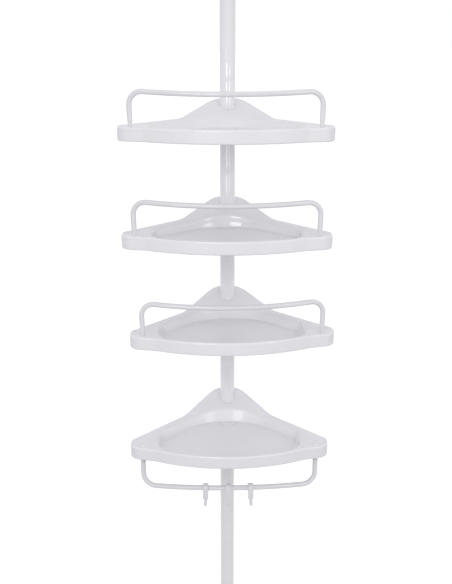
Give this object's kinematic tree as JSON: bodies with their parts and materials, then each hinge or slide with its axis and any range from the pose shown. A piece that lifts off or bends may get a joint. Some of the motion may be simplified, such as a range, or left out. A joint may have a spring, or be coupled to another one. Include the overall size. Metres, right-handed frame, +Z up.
{
  "type": "tension pole shelf unit",
  "caption": "Spring-loaded corner pole with quarter-round trays on sliding clamps, front guard rails, and a towel rail with small hooks under the lowest tray.",
  "frame": {"origin": "centre of the floor pad's underside, on the pole's axis", "axes": "+Z up along the pole, -Y towards the user, +X to the user's right, +Y into the room's corner"},
  "size_m": [0.3312, 0.2326, 1.215],
  "materials": {
    "tube_white": "satin white coat on steel tube",
    "tray_white": "glossy moulded plastic",
    "fitting_white": "moulded plastic",
    "hook_white": "moulded plastic",
    "rail_white": "smooth white coat on steel tube",
    "bush_nylon": "matt nylon",
    "pad_rubber": "soft grey rubber",
    "screw_steel": "bright plated steel",
    "spring_steel": "drawn spring wire"
  },
  "bodies": {
    "pole": {"floor_pad": "pad_rubber", "foot_cap": "fitting_white", "lower_tube": "tube_white", "tube_coupler": "bush_nylon", "upper_tube": "tube_white", "lock_base": "fitting_white"},
    "lock_collar": {"lock_collar": "fitting_white"},
    "mast": {"inner_tube": "tube_white", "slide_bush": "bush_nylon", "spring_seat": "bush_nylon", "tension_spring": "spring_steel", "end_bush": "bush_nylon"},
    "plunger": {"plunger": "fitting_white", "ceiling_cap": "fitting_white", "cap_screw": "screw_steel", "ceiling_pad": "pad_rubber"},
    "sleeve_1": {"grip_sleeve_1": "fitting_white"},
    "shelf_1": {"tray_1": "tray_white", "guard_rail_1": "rail_white", "rail_pegs_1": "fitting_white", "rail_screws_1": "screw_steel"},
    "sleeve_2": {"grip_sleeve_2": "fitting_white"},
    "shelf_2": {"tray_2": "tray_white", "guard_rail_2": "rail_white", "rail_pegs_2": "fitting_white", "rail_screws_2": "screw_steel"},
    "sleeve_3": {"grip_sleeve_3": "fitting_white"},
    "shelf_3": {"tray_3": "tray_white", "guard_rail_3": "rail_white", "rail_pegs_3": "fitting_white", "rail_screws_3": "screw_steel"},
    "sleeve_4": {"grip_sleeve_4": "fitting_white"},
    "shelf_4": {"tray_4": "tray_white", "towel_rail": "rail_white", "rail_pegs_4": "fitting_white", "rail_screws_4": "screw_steel"},
    "hook_left": {"hook_left": "hook_white"},
    "hook_middle": {"hook_middle": "hook_white"},
    "hook_right": {"hook_right": "hook_white"}
  },
  "joints": [
    {"name": "lock_turn", "type": "hinge", "parent": "pole", "child": "lock_collar", "pos_m": [0, 0, 1.1456], "axis": [0, 0, 1], "range_deg": [0, 90]},
    {"name": "mast_slide", "type": "slide", "parent": "pole", "child": "mast", "axis": [0, 0, 1], "range_m": [0, 0.185]},
    {"name": "plunger_slide", "type": "slide", "parent": "mast", "child": "plunger", "axis": [0, 0, 1], "range_m": [-0.02, 0], "stiffness_N_per_m": 3000, "springref_m": 0.01, "deforming": ["tension_spring"]},
    {"name": "sleeve_1_slide", "type": "slide", "parent": "pole", "child": "sleeve_1", "axis": [0, 0, 1], "range_m": [-0.03, 0.1]},
    {"name": "shelf_1_turn", "type": "hinge", "parent": "sleeve_1", "child": "shelf_1", "pos_m": [0, 0, 0.925], "axis": [0, 0, 1], "continuous": true},
    {"name": "sleeve_2_slide", "type": "slide", "parent": "pole", "child": "sleeve_2", "axis": [0, 0, 1], "range_m": [-0.03, 0.03]},
    {"name": "shelf_2_turn", "type": "hinge", "parent": "sleeve_2", "child": "shelf_2", "pos_m": [0, 0, 0.7635], "axis": [0, 0, 1], "continuous": true},
    {"name": "sleeve_3_slide", "type": "slide", "parent": "pole", "child": "sleeve_3", "axis": [0, 0, 1], "range_m": [-0.03, 0.03]},
    {"name": "shelf_3_turn", "type": "hinge", "parent": "sleeve_3", "child": "shelf_3", "pos_m": [0, 0, 0.6064], "axis": [0, 0, 1], "continuous": true},
    {"name": "sleeve_4_slide", "type": "slide", "parent": "pole", "child": "sleeve_4", "axis": [0, 0, 1], "range_m": [-0.2, 0.03]},
    {"name": "shelf_4_turn", "type": "hinge", "parent": "sleeve_4", "child": "shelf_4", "pos_m": [0, 0, 0.4164], "axis": [0, 0, 1], "continuous": true},
    {"name": "hook_left_slide", "type": "hinge", "parent": "shelf_4", "child": "hook_left", "pos_m": [-0.00597, 0.28721, 0.26305], "axis": [-0.0038, 0.1839, 0.9829], "range_deg": [-8, 1.5]},
    {"name": "hook_middle_slide", "type": "hinge", "parent": "shelf_4", "child": "hook_middle", "pos_m": [-0.00597, 0.28721, 0.26305], "axis": [-0.0038, 0.1839, 0.9829], "range_deg": [-1.5, 1.5]},
    {"name": "hook_right_slide", "type": "hinge", "parent": "shelf_4", "child": "hook_right", "pos_m": [-0.00597, 0.28721, 0.26305], "axis": [-0.0038, 0.1839, 0.9829], "range_deg": [-1.5, 8]}
  ]
}
